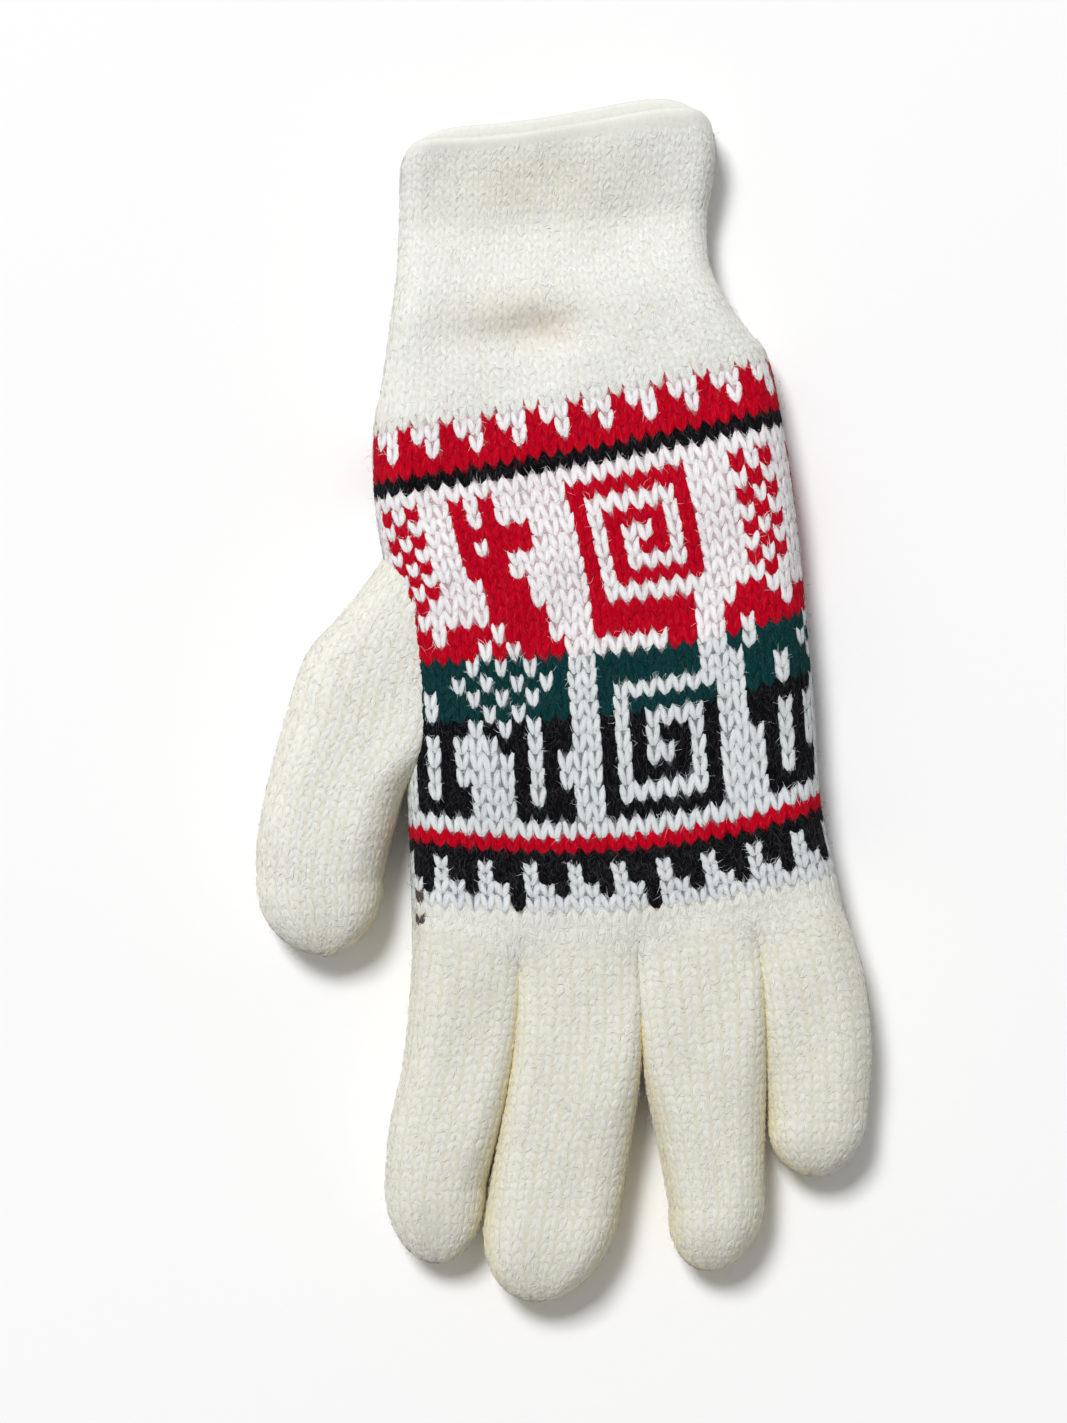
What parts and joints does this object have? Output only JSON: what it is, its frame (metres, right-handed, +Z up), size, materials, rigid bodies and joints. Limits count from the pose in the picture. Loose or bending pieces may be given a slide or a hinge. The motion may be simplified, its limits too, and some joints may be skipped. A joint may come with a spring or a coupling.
{
  "type": "wool glove",
  "caption": "Knitted wool left-hand glove lying flat, back up, with a long plain cuff, a patterned hand, plain fingers and a thumb with a gusset.",
  "frame": {"origin": "middle of the footprint, on the surface that the glove lies on", "axes": "+Y towards the wrist, -Y towards the fingertips, +X towards the little finger, +Z up out of the back of the hand"},
  "size_m": [0.1346, 0.263, 0.0218],
  "materials": {
    "off_white_wool": "soft matt off-white wool, plain knit",
    "patterned_wool": "soft matt white wool knitted with crimson, dark green and black figures",
    "ivory_wool": "soft matt ivory wool, plain knit"
  },
  "bodies": {
    "root": {"cuff": "off_white_wool", "hand": "patterned_wool", "thumb": "ivory_wool", "index_finger": "ivory_wool", "middle_finger": "ivory_wool", "ring_finger": "ivory_wool", "little_finger": "ivory_wool"}
  },
  "joints": []
}
